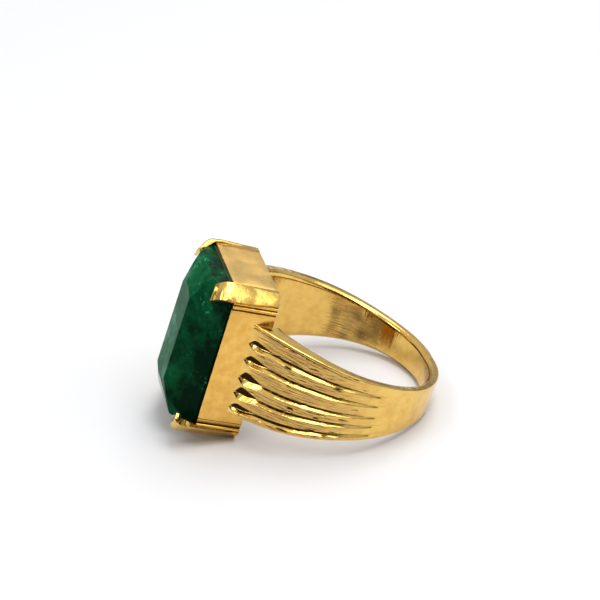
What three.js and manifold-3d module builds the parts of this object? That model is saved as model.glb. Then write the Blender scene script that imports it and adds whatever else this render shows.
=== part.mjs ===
// Cocktail ring: a stepped green stone in a straight-walled box head with four corner claws, on a
// tapered finger band whose shoulders are fluted. Millimetres, +Z up, lying on its side.
//
// The pieces are modelled upright in the ring's own frame: the finger axis is Z, the stone looks
// along -X, the palm side of the band is +X. The whole group is then tilted about Y onto its two
// resting places, the lower back edge of the head and the lower rim of the palm.
import * as THREE from "three";
import { mergeVertices } from "three/addons/utils/BufferGeometryUtils.js";
import { ConvexGeometry } from "three/addons/geometries/ConvexGeometry.js";
import Module from "manifold-3d";

const wasm = await Module();
wasm.setup();

// ---- Driving dimensions -----------------------------------------------------------------------
const FINGER_RADIUS = 9.25; // inside of the band
const SOLDER_GAP = 0.04; // seam left between pieces that are soldered together

const HEAD_HEIGHT = 4.15; // wall height, from the open back to the stone
const HEAD_SINK = 0.92; // how far the back of the head lies inside the finger circle's crest
const WALL_THICKNESS = 0.3;
const SIDE_GAP = 0.165; // between the stone's girdle and the long walls
const END_GAP = 0.07; // between the girdle and the end walls

const STONE_LENGTH = 14.1; // over the girdle
const STONE_WIDTH = 10.2;
const STONE_CORNER = 0.45; // corner cut at the girdle
const GIRDLE_THICKNESS = 0.3;
const GIRDLE_SINK = 0.13; // underside of the girdle below the front edge of the walls
const CROWN_HEIGHT = 2.74;
const TABLE_LENGTH = 9.32;
const TABLE_WIDTH = 3.4;
const TABLE_CUT_ACROSS = 1.3; // the table's corner cuts, across and along the finger
const TABLE_CUT_ALONG = 0.5;
const KNEE_DROP = 0.67; // where the crown's corner facets start, below the table
const KNEE_CUT = 0.2;
const STEP_DROP = 1.15; // where the end facets turn steeply down to the girdle
const STEP_INSET = 0.05; // that edge, in from the girdle's end
const STEP_CUT_ACROSS = 0.3;
const STEP_CUT_ALONG = 0.93;
const PAVILION_DEPTH = 2.85;
const BELLY_DROP = 1.08; // the pavilion's widest step, below the girdle
const BELLY_INSET = 1.12;
const KEEL_LENGTH = 5.6;
const KEEL_WIDTH = 0.3;

const SEAT_HEIGHT = 0.95; // bearing ledge under the stone
const SEAT_LEDGE = 0.9;
const SEAT_CLEARANCE = 0.06;
const SEAT_CORNER = 1.45;

const POST_ALONG_WALL = 1.8; // how far each corner post reaches along the long wall
const POST_ALONG_END = 1.6; // and along the end wall
const POST_CHAMFER = 0.85;
const CLAW_WIDTH = 1.75;
const CLAW_THICKNESS = 0.55;
const CLAW_PROUD = 0.28; // how far the claw stands out from the post's chamfer
const CLAW_ROOT = 1.4; // how far down the post the claw starts
const CLAW_LIFT = 0.64; // open space between the claw's tip and the stone's corner facet
const CLAW_REACH = 1.05; // how far the tip comes in over the stone's corner
const CLAW_CLEARANCE = 0.07;

const PALM_THICKNESS = 0.87;
const PALM_WIDTH = 2.82;
const SIDE_THICKNESS = 1.07; // at the sides of the finger, 90 degrees from the palm
const SIDE_WIDTH = 6.1;
const SHOULDER_THICKNESS = 2.15; // where the band meets the long walls
const SHOULDER_WIDTH = 9.1;

const FLUTE_COUNT = 5;
const FLUTE_RIM_UPPER = 1.79; // first flute, from the shoulder's upper edge at the wall
const FLUTE_RIM_LOWER = 0.79; // last flute, from its lower edge
const FLUTE_RADIUS = 0.3;
const FLUTE_DEPTH = 0.26;
const FLUTE_END_ANGLE = 72; // degrees from the palm where the flutes run out

// ---- Values worked out from them --------------------------------------------------------------
const headBack = FINGER_RADIUS - HEAD_SINK; // distances from the finger axis
const headFront = headBack + HEAD_HEIGHT;
const headHalfWidth = STONE_WIDTH / 2 + SIDE_GAP + WALL_THICKNESS;
const headHalfLength = STONE_LENGTH / 2 + END_GAP + WALL_THICKNESS;
const girdleUnder = headFront - GIRDLE_SINK;
const girdleTop = girdleUnder + GIRDLE_THICKNESS;
const tableFace = girdleTop + CROWN_HEIGHT;
const keelFace = girdleUnder - PAVILION_DEPTH;
const sideRun = (STONE_WIDTH - TABLE_WIDTH) / 2 / CROWN_HEIGHT; // crown growth per unit of drop
const endRun = (STONE_LENGTH / 2 - STEP_INSET - TABLE_LENGTH / 2) / STEP_DROP;
const rightAngle = Math.PI / 2;

const GOLD = 0xe3ad3f;
const BRUSHED_GOLD = 0xd6a23c;
const EMERALD = 0x0c4a2a;

// ---- Helpers ----------------------------------------------------------------------------------
// A closed geometry as a manifold-3d solid.
function solidOf(geometry) {
  const bare = geometry.index ? geometry.toNonIndexed() : geometry.clone();
  bare.deleteAttribute("normal");
  bare.deleteAttribute("uv");
  const merged = mergeVertices(bare, 1e-4);
  const mesh = new wasm.Mesh({
    numProp: 3,
    vertProperties: merged.attributes.position.array,
    triVerts: new Uint32Array(merged.index.array),
  });
  return new wasm.Manifold(mesh);
}

// A solid back as a geometry with flat facets.
function geometryOf(solid) {
  const mesh = solid.getMesh();
  const geometry = new THREE.BufferGeometry();
  geometry.setAttribute("position", new THREE.BufferAttribute(mesh.vertProperties, 3));
  geometry.setIndex(new THREE.BufferAttribute(mesh.triVerts, 1));
  const flat = geometry.toNonIndexed();
  flat.computeVertexNormals();
  return flat;
}

function makePiece(name, solid, color, roughness, metalness) {
  const material = new THREE.MeshStandardMaterial({ color, roughness, metalness });
  const piece = new THREE.Mesh(geometryOf(solid), material);
  piece.name = name;
  return piece;
}

function goldPiece(name, solid) {
  return makePiece(name, solid, GOLD, 0.2, 1);
}

// A block between two corners.
function block(low, high) {
  const size = new THREE.Vector3().subVectors(high, low);
  const middle = new THREE.Vector3().addVectors(low, high).multiplyScalar(0.5);
  return new THREE.BoxGeometry(size.x, size.y, size.z).translate(middle.x, middle.y, middle.z);
}

// The corners of a rectangle with cut corners, on a plane square to X, as it faces the stone.
function cutRectangle(distance, halfWidth, halfLength, cutAcross, cutAlong = cutAcross) {
  const points = [];
  for (const side of [1, -1]) {
    for (const end of [1, -1]) {
      points.push(new THREE.Vector3(-distance, side * halfWidth, end * (halfLength - cutAlong)));
      points.push(new THREE.Vector3(-distance, side * (halfWidth - cutAcross), end * halfLength));
    }
  }
  return points;
}

// ---- Stone ------------------------------------------------------------------------------------
// Levels of the stone from the table to the keel, each grown by the same clearance.
function stoneHull(clearance = 0) {
  const halfWidth = STONE_WIDTH / 2 + clearance;
  const halfLength = STONE_LENGTH / 2 + clearance;
  const tableHalfWidth = TABLE_WIDTH / 2 + clearance;
  const tableHalfLength = TABLE_LENGTH / 2 + clearance;
  const crownLevel = (drop, cutAcross, cutAlong) => {
    const levelHalfWidth = tableHalfWidth + drop * sideRun;
    const levelHalfLength = tableHalfLength + drop * endRun;
    return cutRectangle(tableFace - drop + clearance, levelHalfWidth, levelHalfLength, cutAcross, cutAlong);
  };
  const keelHalfWidth = KEEL_WIDTH / 2 + clearance;
  const keelHalfLength = KEEL_LENGTH / 2 + clearance;
  const points = [
    ...crownLevel(0, TABLE_CUT_ACROSS, TABLE_CUT_ALONG),
    ...crownLevel(KNEE_DROP, KNEE_CUT, KNEE_CUT),
    ...crownLevel(STEP_DROP, STEP_CUT_ACROSS, STEP_CUT_ALONG),
    ...cutRectangle(girdleTop, halfWidth, halfLength, STONE_CORNER),
    ...cutRectangle(girdleUnder, halfWidth, halfLength, STONE_CORNER),
    ...cutRectangle(girdleUnder - BELLY_DROP, halfWidth - BELLY_INSET, halfLength - BELLY_INSET, STONE_CORNER),
    ...cutRectangle(keelFace - clearance, keelHalfWidth, keelHalfLength, KEEL_WIDTH / 3),
  ];
  return solidOf(new ConvexGeometry(points));
}

// ---- Head -------------------------------------------------------------------------------------
// The long wall on one side: side is -1 or +1 along Y.
function longWall(side) {
  const halfSpan = headHalfLength - POST_ALONG_WALL - SOLDER_GAP;
  const inner = headHalfWidth - WALL_THICKNESS;
  const low = new THREE.Vector3(-headFront, Math.min(side * inner, side * headHalfWidth), -halfSpan);
  const high = new THREE.Vector3(-headBack, Math.max(side * inner, side * headHalfWidth), halfSpan);
  return solidOf(block(low, high));
}

// The short wall on one end: end is -1 or +1 along Z.
function endWall(end) {
  const halfSpan = headHalfWidth - POST_ALONG_END - SOLDER_GAP;
  const inner = headHalfLength - WALL_THICKNESS;
  const low = new THREE.Vector3(-headFront, -halfSpan, Math.min(end * inner, end * headHalfLength));
  const high = new THREE.Vector3(-headBack, halfSpan, Math.max(end * inner, end * headHalfLength));
  return solidOf(block(low, high));
}

// The ledge inside the walls that the stone's pavilion rests on.
function seatRing() {
  const halfWidth = headHalfWidth - WALL_THICKNESS - SOLDER_GAP;
  const halfLength = headHalfLength - WALL_THICKNESS - SOLDER_GAP;
  const top = girdleUnder - SEAT_CLEARANCE;
  const bottom = top - SEAT_HEIGHT;
  const outer = new ConvexGeometry([
    ...cutRectangle(top, halfWidth, halfLength, SEAT_CORNER),
    ...cutRectangle(bottom, halfWidth, halfLength, SEAT_CORNER),
  ]);
  const past = 1; // the opening runs past both faces of the ledge
  const opening = new ConvexGeometry([
    ...cutRectangle(top + past, halfWidth - SEAT_LEDGE, halfLength - SEAT_LEDGE, SEAT_CORNER),
    ...cutRectangle(bottom - past, halfWidth - SEAT_LEDGE, halfLength - SEAT_LEDGE, SEAT_CORNER),
  ]);
  return solidOf(outer).subtract(solidOf(opening)).subtract(stoneHull(SEAT_CLEARANCE));
}

// The height of the crown's corner facet at a distance from the ring's middle plane line, measured
// along the line from the head's middle through its corner.
function cornerFacetHeight(distance) {
  const girdleCorner = (STONE_WIDTH / 2 + STONE_LENGTH / 2 - STONE_CORNER) / Math.SQRT2;
  const stepCut = (STEP_CUT_ACROSS + STEP_CUT_ALONG) / 2;
  const stepHalfWidth = TABLE_WIDTH / 2 + STEP_DROP * sideRun;
  const stepHalfLength = STONE_LENGTH / 2 - STEP_INSET;
  const stepCorner = (stepHalfWidth + stepHalfLength - stepCut) / Math.SQRT2;
  const slope = (tableFace - STEP_DROP - girdleTop) / (girdleCorner - stepCorner);
  return girdleTop + slope * (girdleCorner - distance);
}

// A corner post with its claw, for the corner at side (along Y) and end (along Z).
function cornerClaw(side, end) {
  const inner = WALL_THICKNESS;
  const corner = (across, along, distance) =>
    new THREE.Vector3(-distance, side * (headHalfWidth - across), end * (headHalfLength - along));
  const points = [];
  for (const distance of [headBack, headFront]) {
    points.push(corner(POST_ALONG_END, 0, distance));
    points.push(corner(POST_CHAMFER, 0, distance));
    points.push(corner(0, POST_CHAMFER, distance));
    points.push(corner(0, POST_ALONG_WALL, distance));
    points.push(corner(inner, POST_ALONG_WALL, distance));
    points.push(corner(POST_ALONG_END, inner, distance));
  }
  const post = solidOf(new ConvexGeometry(points));

  // The claw's side view: u runs outwards from the finger axis through the corner, v towards the
  // stone's face. Its root is buried in the post.
  const face = (headHalfWidth + headHalfLength - POST_CHAMFER) / Math.SQRT2;
  const outer = face + CLAW_PROUD;
  const inside = outer - CLAW_THICKNESS;
  const root = headFront - CLAW_ROOT;
  const tip = outer - CLAW_REACH;
  const crook = cornerFacetHeight(tip) + CLAW_LIFT + CLAW_THICKNESS;
  const shape = new THREE.Shape();
  shape.moveTo(face, root);
  shape.quadraticCurveTo(outer, root + 0.65 * CLAW_ROOT, outer, headFront + 0.8 * CLAW_THICKNESS);
  shape.quadraticCurveTo(outer, crook - 0.3 * CLAW_THICKNESS, tip, crook);
  shape.lineTo(tip - 0.5 * CLAW_THICKNESS, crook - CLAW_THICKNESS);
  shape.quadraticCurveTo(inside, crook - CLAW_THICKNESS, inside, headFront + 0.4 * CLAW_THICKNESS);
  shape.lineTo(inside, root);
  const claw = new THREE.ExtrudeGeometry(shape, {
    depth: CLAW_WIDTH,
    bevelEnabled: false,
    curveSegments: 8,
  });
  claw.translate(0, 0, -CLAW_WIDTH / 2);
  const outwards = new THREE.Vector3(0, side, end).normalize();
  const towardsStone = new THREE.Vector3(-1, 0, 0);
  const along = new THREE.Vector3().crossVectors(outwards, towardsStone);
  const chamferMiddle = corner(POST_CHAMFER / 2, POST_CHAMFER / 2, 0);
  const placing = new THREE.Matrix4().makeBasis(outwards, towardsStone, along);
  placing.setPosition(along.clone().multiplyScalar(chamferMiddle.dot(along)));
  claw.applyMatrix4(placing);
  return post.add(solidOf(claw)).subtract(stoneHull(CLAW_CLEARANCE));
}

// ---- Band -------------------------------------------------------------------------------------
// How far round from the palm the band meets the long walls.
const shoulderAngle = Math.PI - Math.asin(headHalfWidth / (FINGER_RADIUS + SHOULDER_THICKNESS));

// Band thickness and half width against the turn from the palm, as smooth curves.
const thicknessCurve = new THREE.SplineCurve([
  new THREE.Vector2(-rightAngle, SIDE_THICKNESS),
  new THREE.Vector2(0, PALM_THICKNESS),
  new THREE.Vector2(rightAngle, SIDE_THICKNESS),
  new THREE.Vector2(shoulderAngle, SHOULDER_THICKNESS),
]);
const halfWidthCurve = new THREE.SplineCurve([
  new THREE.Vector2(-rightAngle, SIDE_WIDTH / 2),
  new THREE.Vector2(0, PALM_WIDTH / 2),
  new THREE.Vector2(rightAngle, SIDE_WIDTH / 2),
  new THREE.Vector2(shoulderAngle, SHOULDER_WIDTH / 2),
]);

// The value of one of those curves at a turn, found by halving.
function valueAt(curve, turn) {
  let low = 0;
  let high = 1;
  for (let step = 0; step < 40; step++) {
    const middle = (low + high) / 2;
    if (curve.getPoint(middle).x < turn) low = middle;
    else high = middle;
  }
  return curve.getPoint(low).y;
}

const outerRadius = (turn) => FINGER_RADIUS + valueAt(thicknessCurve, Math.abs(turn));

// A point on the band: how far from the finger axis, at which turn from the palm, how high.
function bandPoint(radius, turn, height) {
  return new THREE.Vector3(radius * Math.cos(turn), radius * Math.sin(turn), height);
}

// The band's plan, an open ring, as a block of the full shoulder width.
function bandPlan() {
  const steps = 72;
  const plan = new THREE.Shape();
  for (let step = 0; step <= steps; step++) {
    const turn = shoulderAngle * ((2 * step) / steps - 1);
    const point = bandPoint(outerRadius(turn), turn, 0);
    if (step === 0) plan.moveTo(point.x, point.y);
    else plan.lineTo(point.x, point.y);
  }
  const endTurn = Math.PI - Math.asin((headHalfWidth - WALL_THICKNESS) / FINGER_RADIUS);
  for (let step = steps; step >= 0; step--) {
    const turn = endTurn * ((2 * step) / steps - 1);
    const point = bandPoint(FINGER_RADIUS, turn, 0);
    plan.lineTo(point.x, point.y);
  }
  const depth = SHOULDER_WIDTH * 1.2;
  const body = new THREE.ExtrudeGeometry(plan, { depth, bevelEnabled: false });
  return solidOf(body.translate(0, 0, -depth / 2));
}

// The band's taper as seen from the side, as a block across the whole ring.
function bandTaper() {
  const steps = 24;
  const edge = [];
  for (let step = 0; step <= steps; step++) {
    const turn = (shoulderAngle * step) / steps;
    edge.push(new THREE.Vector2(outerRadius(turn) * Math.cos(turn), valueAt(halfWidthCurve, turn)));
  }
  edge.unshift(new THREE.Vector2(FINGER_RADIUS + 3, PALM_WIDTH / 2));
  edge.push(new THREE.Vector2(-FINGER_RADIUS - 3, SHOULDER_WIDTH / 2));
  const mirrored = edge.map((point) => new THREE.Vector2(point.x, -point.y)).reverse();
  const side = new THREE.Shape([...edge, ...mirrored]);
  const depth = 3 * FINGER_RADIUS;
  const body = new THREE.ExtrudeGeometry(side, { depth, bevelEnabled: false });
  return solidOf(body.rotateX(rightAngle).translate(0, depth / 2, 0));
}

// One flute: a round-bottomed groove along the outside of a shoulder that runs out towards the palm.
function flute(side, index) {
  const pitch = (SHOULDER_WIDTH - FLUTE_RIM_UPPER - FLUTE_RIM_LOWER) / (FLUTE_COUNT - 1);
  const heightAtWall = FLUTE_RIM_LOWER - SHOULDER_WIDTH / 2 + pitch * index;
  const endTurn = (FLUTE_END_ANGLE * Math.PI) / 180;
  const steps = 14;
  const points = [];
  for (let step = 0; step <= steps; step++) {
    const turn = shoulderAngle + ((endTurn - shoulderAngle) * step) / steps;
    const share = valueAt(halfWidthCurve, turn) / (SHOULDER_WIDTH / 2);
    const lift = FLUTE_RADIUS - FLUTE_DEPTH + (FLUTE_DEPTH + 0.05) * (step / steps) ** 3;
    points.push(bandPoint(outerRadius(turn) + lift, side * turn, heightAtWall * share));
  }
  const section = new THREE.Shape();
  section.absarc(0, 0, FLUTE_RADIUS, 0, 2 * Math.PI);
  const groove = new THREE.ExtrudeGeometry(section, {
    steps: 28,
    curveSegments: 4,
    bevelEnabled: false,
    extrudePath: new THREE.CatmullRomCurve3(points),
  });
  return solidOf(groove);
}

// The band, notched to seat the head's long walls and back edges.
function fingerBand() {
  const notchHalfWidth = headHalfWidth + SOLDER_GAP;
  const past = 2 * headHalfLength; // the notch runs past both rims of the band
  const notchLow = new THREE.Vector3(-3 * FINGER_RADIUS, -notchHalfWidth, -past);
  const notchHigh = new THREE.Vector3(-headBack + SOLDER_GAP, notchHalfWidth, past);
  let band = bandPlan().intersect(bandTaper()).subtract(solidOf(block(notchLow, notchHigh)));
  for (const side of [-1, 1]) {
    for (let index = 0; index < FLUTE_COUNT; index++) band = band.subtract(flute(side, index));
  }
  return band;
}

// ---- Assembly ---------------------------------------------------------------------------------
const upright = new THREE.Group();
upright.add(makePiece("finger_band", fingerBand(), BRUSHED_GOLD, 0.28, 1));
upright.add(goldPiece("long_wall_left", longWall(-1)));
upright.add(goldPiece("long_wall_right", longWall(1)));
upright.add(goldPiece("end_wall_upper", endWall(1)));
upright.add(goldPiece("end_wall_lower", endWall(-1)));
upright.add(goldPiece("stone_seat", seatRing()));
upright.add(goldPiece("claw_upper_left", cornerClaw(-1, 1)));
upright.add(goldPiece("claw_upper_right", cornerClaw(1, 1)));
upright.add(goldPiece("claw_lower_left", cornerClaw(-1, -1)));
upright.add(goldPiece("claw_lower_right", cornerClaw(1, -1)));
upright.add(makePiece("green_stone", stoneHull(), EMERALD, 0.05, 0));

// Tilt onto the head's lower back edge and the palm's lower rim.
const run = headBack + FINGER_RADIUS + PALM_THICKNESS;
const rise = headHalfLength - PALM_WIDTH / 2;
upright.rotation.y = Math.atan2(rise, run);

// Stand it on z = 0 with the middle of its footprint at the origin.
const ring = new THREE.Group();
ring.add(upright);
ring.updateMatrixWorld(true);
const bounds = new THREE.Box3().setFromObject(ring, true);
const middle = bounds.getCenter(new THREE.Vector3());
ring.position.set(-middle.x, -middle.y, -bounds.min.z);

export default ring;
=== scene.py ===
"""Cocktail ring: a step-cut green stone in a straight-walled gold box head, on a fluted band.

Every piece is modelled in the ring's own upright frame, in millimetres: the finger axis is Z, the
stone looks along -X, the palm side of the band is +X and the left side is -Y. A Stance then lays the
piece down in the shared frame, where the ring rests on its head's back edge and its palm's rim.
"""
import logging
import math
from collections.abc import Iterable, Sequence
from dataclasses import dataclass, field
from enum import Enum

import bmesh
import bpy
from bmesh.types import BMEdge, BMesh, BMFace, BMVert
from bpy.types import Material, Node, NodeSocket as Socket, NodeTree, Object
from mathutils import Matrix, Vector, noise


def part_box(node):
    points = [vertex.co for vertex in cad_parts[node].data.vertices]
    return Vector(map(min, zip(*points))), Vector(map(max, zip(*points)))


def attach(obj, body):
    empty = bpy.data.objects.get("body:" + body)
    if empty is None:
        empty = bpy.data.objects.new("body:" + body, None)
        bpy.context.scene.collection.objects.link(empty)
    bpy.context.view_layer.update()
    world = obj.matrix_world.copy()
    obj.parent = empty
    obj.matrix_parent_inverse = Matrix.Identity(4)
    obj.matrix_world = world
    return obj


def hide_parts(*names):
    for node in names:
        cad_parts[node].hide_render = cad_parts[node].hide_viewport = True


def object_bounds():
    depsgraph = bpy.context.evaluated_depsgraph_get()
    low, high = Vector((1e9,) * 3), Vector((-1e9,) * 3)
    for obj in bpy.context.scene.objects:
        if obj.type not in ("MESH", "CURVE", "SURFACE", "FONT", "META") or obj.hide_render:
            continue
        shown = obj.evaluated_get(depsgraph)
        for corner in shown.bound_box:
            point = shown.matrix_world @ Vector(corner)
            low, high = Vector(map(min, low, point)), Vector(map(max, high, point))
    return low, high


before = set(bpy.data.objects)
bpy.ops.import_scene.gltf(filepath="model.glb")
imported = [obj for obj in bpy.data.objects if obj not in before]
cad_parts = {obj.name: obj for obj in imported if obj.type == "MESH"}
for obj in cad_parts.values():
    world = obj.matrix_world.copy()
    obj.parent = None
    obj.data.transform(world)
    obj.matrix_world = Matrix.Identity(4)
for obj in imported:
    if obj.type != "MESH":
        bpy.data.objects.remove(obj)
cad_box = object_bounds()

log = logging.getLogger("ring")
MM = 0.001
BODY = "root"
SHADER = "Principled BSDF"
Colour = tuple[float, float, float, float]
Pair = tuple[float, float]
Triple = tuple[float, float, float]


class Side(Enum):
    """The two long sides of the head, by their direction along Y."""

    LEFT = -1
    RIGHT = 1


class End(Enum):
    """The two ends of the head, by their direction along Z."""

    LOWER = -1
    UPPER = 1


class Slot(Enum):
    """The record's material slots."""

    POLISHED = "polished_gold"
    CAST = "cast_gold"
    STONE = "green_stone"


# ---- Small helpers ----
def linear(code: str) -> Colour:
    """Turns an sRGB hex colour, as #RRGGBB, into linear red, green, blue and alpha."""
    values = [int(code[i : i + 2], 16) / 255 for i in (1, 3, 5)]
    red, green, blue = (v / 12.92 if v <= 0.04045 else ((v + 0.055) / 1.055) ** 2.4 for v in values)
    return red, green, blue, 1.0


def blend(low: float, high: float, share: float) -> float:
    """Returns the value at a share of the way from low to high."""
    return low + (high - low) * share


def ease(low: float, high: float, value: float) -> float:
    """Returns 0 below low, 1 above high, and a smooth step between them."""
    share = min(1.0, max(0.0, (value - low) / (high - low)))
    return share * share * (3 - 2 * share)


def smooth_curve(knots: Sequence[Pair], x: float) -> float:
    """Reads a smooth curve through a few knots.

    Args:
        knots: Points (x, y) in rising x.
        x: Where to read the curve.

    Returns:
        The height of a cubic Hermite curve whose slopes come from the neighbouring knots.
    """
    last = len(knots) - 1
    x = min(knots[last][0], max(knots[0][0], x))
    i = next(k for k in range(last) if x <= knots[k + 1][0])

    def slope(k: int) -> float:
        """Returns the slope at one knot."""
        before, after = knots[max(0, k - 1)], knots[min(last, k + 1)]
        return (after[1] - before[1]) / (after[0] - before[0])

    (x0, y0), (x1, y1) = knots[i], knots[i + 1]
    width = x1 - x0
    s = (x - x0) / width
    start = y0 * (1 + 2 * s) * (1 - s) ** 2 + slope(i) * width * s * (1 - s) ** 2
    return start + y1 * s * s * (3 - 2 * s) - slope(i + 1) * width * s * s * (1 - s)


def fill_inputs(tree: NodeTree, node: Node, inputs: dict) -> None:
    """Sets or links a node's inputs, which are values or output sockets by input name or number."""
    for name, value in inputs.items():
        if isinstance(value, Socket):
            tree.links.new(value, node.inputs[name])
        else:
            node.inputs[name].default_value = value


def add_node(tree: NodeTree, kind: str, inputs: dict | None = None, settings: dict | None = None) -> Node:
    """Adds one shader node.

    Args:
        tree: The node tree.
        kind: The node's type name.
        inputs: Values or output sockets, by input name or number.
        settings: Attributes of the node itself.

    Returns:
        The new node.
    """
    node = tree.nodes.new(kind)
    for name, value in (settings or {}).items():
        setattr(node, name, value)
    fill_inputs(tree, node, inputs or {})
    return node


def compute(tree: NodeTree, operation: str, *values: Socket | float) -> Socket:
    """Adds one step of arithmetic and returns its result."""
    node = add_node(tree, "ShaderNodeMath", dict(enumerate(values)), {"operation": operation})
    return node.outputs[0]


def fit(
    tree: NodeTree, value: Socket, start: float, end: float, low: float = 0.0, high: float = 1.0
) -> Socket:
    """Adds a clamped change of range, from start and end to low and high, and returns its result."""
    inputs = {"Value": value, "From Min": start, "From Max": end, "To Min": low, "To Max": high}
    return add_node(tree, "ShaderNodeMapRange", inputs).outputs[0]


def place_by(
    tree: NodeTree, place: Socket, scale: Sequence[float] = (1, 1, 1), turn: float = 0.0
) -> Socket:
    """Adds a change of coordinates, scaled and turned about Y in radians, and returns it."""
    inputs = {"Vector": place, "Scale": scale, "Rotation": (0, turn, 0)}
    return add_node(tree, "ShaderNodeMapping", inputs).outputs[0]


def unevenness(
    tree: NodeTree, place: Socket, spacing: float | None = None, detail: float = 2.0,
    roughness: float = 0.5, distortion: float = 0.0,
) -> Socket:
    """Adds a soft noise.

    Args:
        tree: The node tree.
        place: The coordinates that it follows.
        spacing: Millimetres between its patches; None takes the coordinates as already scaled.
        detail: How many finer levels it has.
        roughness: How strong they are.
        distortion: How far it is pulled about.

    Returns:
        Its value, about 0.5 on average.
    """
    return add_node(tree, "ShaderNodeTexNoise", {
        "Vector": place, "Scale": 1 / (spacing * MM) if spacing else 1.0, "Detail": detail,
        "Roughness": roughness, "Distortion": distortion,
    }).outputs["Fac"]


def bump(
    tree: NodeTree, height: Socket, strength: float, depth: float, below: Socket | None = None
) -> Socket:
    """Adds relief, deep in millimetres, on top of other relief, and returns the normal."""
    inputs = {"Height": height, "Strength": strength, "Distance": depth * MM}
    return add_node(tree, "ShaderNodeBump", inputs | ({"Normal": below} if below else {})).outputs[0]


def mix(
    tree: NodeTree, factor: Socket | float, first: Socket | Colour, second: Socket | Colour,
    blend_type: str = "MIX",
) -> Socket:
    """Adds a mix of two colours and returns it."""
    settings = {"data_type": "RGBA", "blend_type": blend_type}
    return add_node(tree, "ShaderNodeMix", {"Factor": factor, 6: first, 7: second}, settings).outputs[2]


def mask(tree: NodeTree, name: str) -> Socket:
    """Adds the reading of one of the mesh's own values, from 0 to 1, and returns it."""
    return add_node(tree, "ShaderNodeAttribute", settings={"attribute_name": name}).outputs["Fac"]


def ramp(tree: NodeTree, value: Socket, stops: Sequence[tuple[float, Colour]]) -> Socket:
    """Adds a colour ramp with stops, each a place and a linear colour, and returns its colour."""
    node = add_node(tree, "ShaderNodeValToRGB", {"Fac": value})
    elements = node.color_ramp.elements
    while len(elements) < len(stops):
        elements.new(0.5)
    for element, (position, colour) in zip(elements, stops):
        element.position = position
        element.color = colour
    return node.outputs["Color"]


def new_material(name: str) -> tuple[Material, NodeTree]:
    """Returns a new material with its Principled shader, and its node tree."""
    material = bpy.data.materials.new(name)
    material.use_nodes = True
    return material, material.node_tree


# ---- Stance and pieces ----
@dataclass(frozen=True)
class Stance:
    """How the ring's upright frame lies in the shared frame."""

    tilt: float
    shift: Vector

    @property
    def matrix(self) -> Matrix:
        """The matrix from upright millimetres to the shared frame in metres."""
        return Matrix.Translation(self.shift) @ Matrix.Rotation(self.tilt, 4, "Y") @ Matrix.Scale(MM, 4)


def stand_in(
    bm: BMesh, name: str, node: str, material: Material,
    stance: Stance, smooth_angle: float | None = 35.0,
) -> Object:
    """Lays a modelled piece down in the shared frame and lets it stand for its CAD node.

    Args:
        bm: The piece, upright, in millimetres. It is freed.
        name: The new object's name.
        node: The CAD node that it replaces.
        material: Its finish.
        stance: How the ring lies.
        smooth_angle: Edges flatter than this many degrees are smooth; None leaves every face flat.

    Returns:
        The finished object.
    """
    bmesh.ops.recalc_face_normals(bm, faces=bm.faces)
    bmesh.ops.transform(bm, matrix=stance.matrix, verts=bm.verts)
    if smooth_angle is not None:
        for face in bm.faces:
            face.smooth = True
        for edge in bm.edges:
            sharp = len(edge.link_faces) == 2 and edge.calc_face_angle(0.0) > math.radians(smooth_angle)
            edge.smooth = not sharp
    mesh = bpy.data.meshes.new(name)
    bm.to_mesh(mesh)
    bm.free()
    mesh.materials.append(material)
    piece = bpy.data.objects.new(name, mesh)
    bpy.context.scene.collection.objects.link(piece)
    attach(piece, BODY)
    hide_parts(node)
    log.info("%s: %d faces, stands for %s", name, len(mesh.polygons), node)
    return piece


def round_edges(bm: BMesh, edges: Iterable[BMEdge], width: float, segments: int = 2) -> None:
    """Bevels edges by a width in millimetres."""
    bmesh.ops.bevel(
        bm, geom=list(edges), offset=width, offset_type="OFFSET", segments=segments, profile=0.5,
        affect="EDGES", clamp_overlap=True, material=-1,
    )


# ---- Finishes ----
@dataclass(frozen=True)
class PolishedGold:
    """Rich yellow gold, rolled to sheet, soldered and hand polished: bright, with faint wiping marks
    and a soft unevenness that keeps its reflections from looking like glass."""

    tilt: float  # of the ring, in radians, so that the marks follow its walls
    name: str = "hand polished yellow gold"
    colour: str = "#F0CA70"
    shade: str = "#DCAA4E"  # the gold's deeper patches
    cloud_spacing: float = 0.9  # millimetres between them
    painted_shade: str = "#3A1E08"  # painted shade in the joints beside the beads
    roughness: float = 0.17
    stretch: Triple = (1.0, 1.0, 1.0)
    mark_spacing: float = 0.16  # millimetres between polishing marks
    mark_depth: float = 0.05
    dent_spacing: float = 2.2  # millimetres between the soft hollows that polishing leaves
    dent_depth: float = 0.10

    def make(self) -> Material:
        """Builds the material and returns it."""
        material, tree = new_material(self.name)
        place = add_node(tree, "ShaderNodeTexCoord").outputs["Object"]
        upright = place_by(tree, place, turn=-self.tilt)
        marks_place = place_by(tree, upright, Vector(self.stretch) / (self.mark_spacing * MM))
        marks = unevenness(tree, marks_place, detail=4.0)
        dents = unevenness(tree, upright, self.dent_spacing)
        clouds = unevenness(tree, upright, self.cloud_spacing, 5.0, 0.65)
        base = ramp(tree, clouds, [(0.3, linear(self.shade)), (0.7, linear(self.colour))])
        soft = fit(tree, dents, 0.35, 0.65, self.roughness * 0.55, self.roughness * 1.1)
        hollows = bump(tree, dents, self.dent_depth, self.dent_spacing)
        fill_inputs(tree, tree.nodes[SHADER], {
            "Metallic": 1.0,
            "Base Color": mix(tree, mask(tree, "recess"), base, linear(self.painted_shade)),
            "Roughness": compute(tree, "MULTIPLY_ADD", marks, self.roughness * 0.5, soft),
            "Normal": bump(tree, marks, self.mark_depth, self.mark_spacing, hollows),
        })
        return material


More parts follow.
